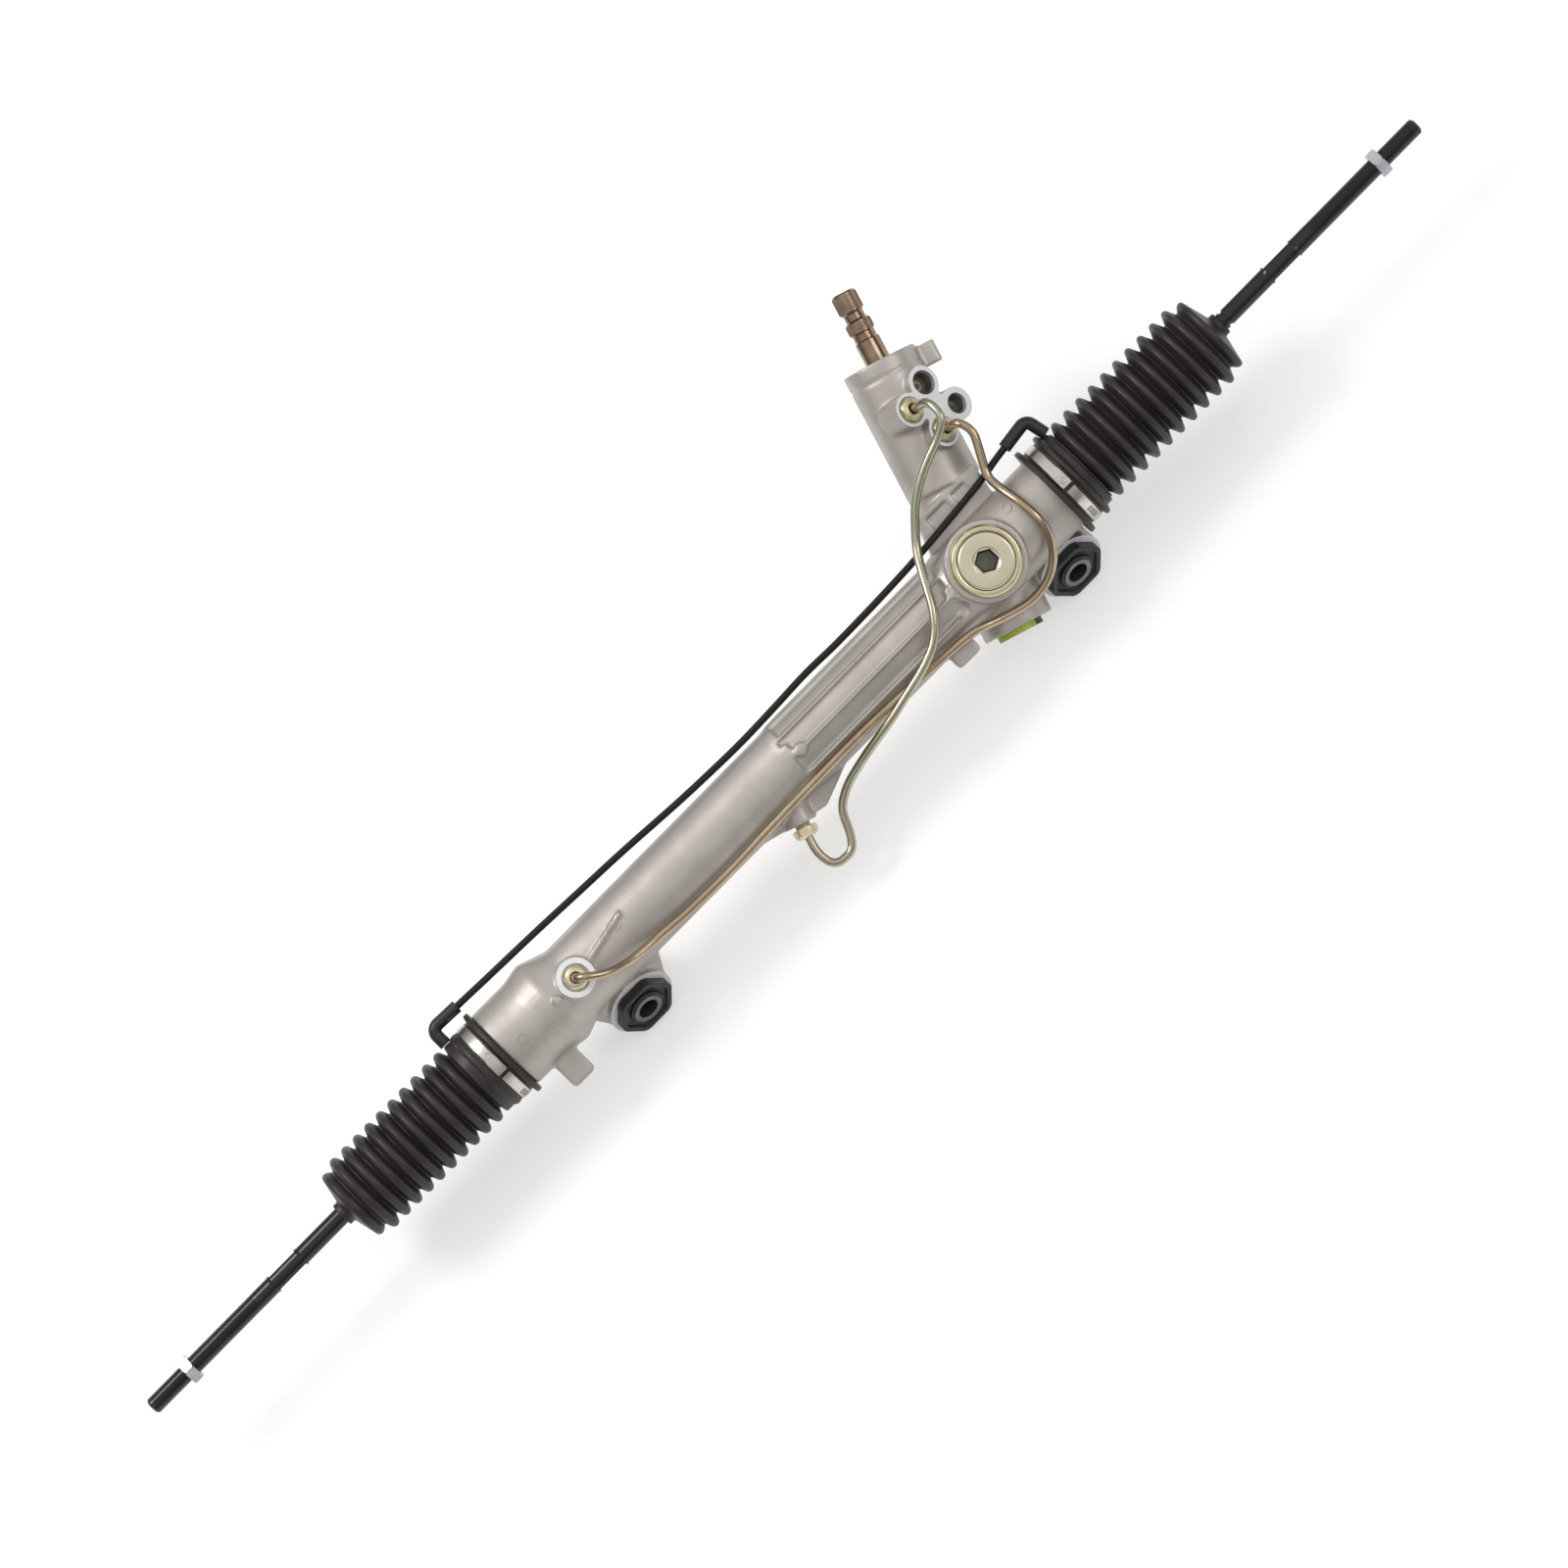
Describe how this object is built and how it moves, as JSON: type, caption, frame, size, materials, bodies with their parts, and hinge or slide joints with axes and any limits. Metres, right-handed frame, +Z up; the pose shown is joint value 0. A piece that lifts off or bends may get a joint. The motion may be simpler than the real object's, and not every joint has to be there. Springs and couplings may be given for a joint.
{
  "type": "steering rack",
  "caption": "Hydraulic rack and pinion steering gear with valve tower, hard lines, bellows and threaded tie rods.",
  "frame": {"origin": "midway between the two chassis bushings, on the line through their bolt axes' centres", "axes": "+X along the rack towards the pinion end, -Y towards the front of the car along the chassis bolts, +Z up; the yoke axis leans forward 55 degrees above the horizontal"},
  "size_m": [1.182, 0.2332, 0.1711],
  "materials": {
    "cast": "cast, light shot-blasted grain, machined faces brighter",
    "rubber": "satin black rubber",
    "bellows": "moulded black rubber, slightly brown",
    "steel": "ground steel",
    "hard_steel": "hardened ground steel",
    "zinc": "yellow zinc plating",
    "silver_zinc": "clear zinc plating",
    "black_steel": "black coated steel",
    "bronze_steel": "brown phosphated steel",
    "plastic": "nylon",
    "ptfe": "sealing plastic",
    "band": "stainless band",
    "tube_plastic": "black nylon tube"
  },
  "bodies": {
    "housing": {"rack_housing": "cast", "left_bushing_rubber": "rubber", "left_bushing_sleeve": "steel", "right_bushing_rubber": "rubber", "right_bushing_sleeve": "steel", "rack_yoke": "cast", "yoke_liner": "ptfe", "yoke_spring": "hard_steel", "yoke_plug": "zinc", "yoke_locknut": "zinc", "rack_bushing": "cast", "outer_rack_seal": "rubber", "inner_rack_seal": "rubber", "seal_spacer": "cast", "bushing_ring": "hard_steel", "lower_bearing_outer": "hard_steel", "lower_bearing_balls": "hard_steel", "upper_bearing": "hard_steel", "pinion_end_cap": "steel", "valve_cover": "steel", "input_bearing": "hard_steel", "input_seal": "rubber", "snap_ring": "hard_steel", "port_seats": "steel", "middle_line": "zinc", "left_line": "zinc", "middle_line_nuts": "zinc", "left_line_nuts": "zinc", "left_bellows": "bellows", "right_bellows": "bellows", "left_bellows_clamp": "band", "right_bellows_clamp": "band", "breather_tube": "tube_plastic", "left_breather_elbow": "rubber", "right_breather_elbow": "rubber"},
    "rack": {"rack_bar": "hard_steel", "rack_piston": "steel", "piston_ring": "ptfe", "left_ball_socket": "black_steel", "right_ball_socket": "black_steel"},
    "pinion": {"pinion": "hard_steel", "pinion_locknut": "steel", "lower_bearing_inner": "hard_steel", "valve_sleeve": "steel", "valve_rings": "ptfe", "torsion_bar": "hard_steel"},
    "input": {"input_shaft": "bronze_steel", "torsion_pin": "hard_steel"},
    "left_seat": {"left_ball_seat": "plastic"},
    "right_seat": {"right_ball_seat": "plastic"},
    "left_rod": {"left_tie_rod": "black_steel", "left_jam_nut": "silver_zinc"},
    "right_rod": {"right_tie_rod": "black_steel", "right_jam_nut": "silver_zinc"}
  },
  "joints": [
    {"name": "rack_slide", "type": "slide", "parent": "housing", "child": "rack", "axis": [1, 0, 0], "range_m": [-0.07, 0.07], "deforming": ["left_bellows", "right_bellows"]},
    {"name": "pinion_spin", "type": "hinge", "parent": "housing", "child": "pinion", "pos_m": [0.163, 0.01099, 0.03031], "axis": [0.3007, 0.7812, 0.547], "range_deg": [-480, 480]},
    {"name": "valve_twist", "type": "hinge", "parent": "pinion", "child": "input", "pos_m": [0.163, 0.01099, 0.03031], "axis": [0.3007, 0.7812, 0.547], "range_deg": [-4, 4], "stiffness_Nm_per_rad": 60},
    {"name": "left_rod_swing", "type": "hinge", "parent": "rack", "child": "left_seat", "pos_m": [-0.4115, 0, 0.046], "axis": [0, 1, 0], "range_deg": [-22, 22]},
    {"name": "left_rod_sweep", "type": "hinge", "parent": "left_seat", "child": "left_rod", "pos_m": [-0.4115, 0, 0.046], "axis": [0, 0, 1], "range_deg": [-10, 10]},
    {"name": "right_rod_swing", "type": "hinge", "parent": "rack", "child": "right_seat", "pos_m": [0.3615, 0, 0.046], "axis": [0, 1, 0], "range_deg": [-22, 22]},
    {"name": "right_rod_sweep", "type": "hinge", "parent": "right_seat", "child": "right_rod", "pos_m": [0.3615, 0, 0.046], "axis": [0, 0, 1], "range_deg": [-10, 10]}
  ],
  "couplings": [
    {"joint": "pinion_spin", "follows": "rack_slide", "rad_per_m": 119.05}
  ]
}
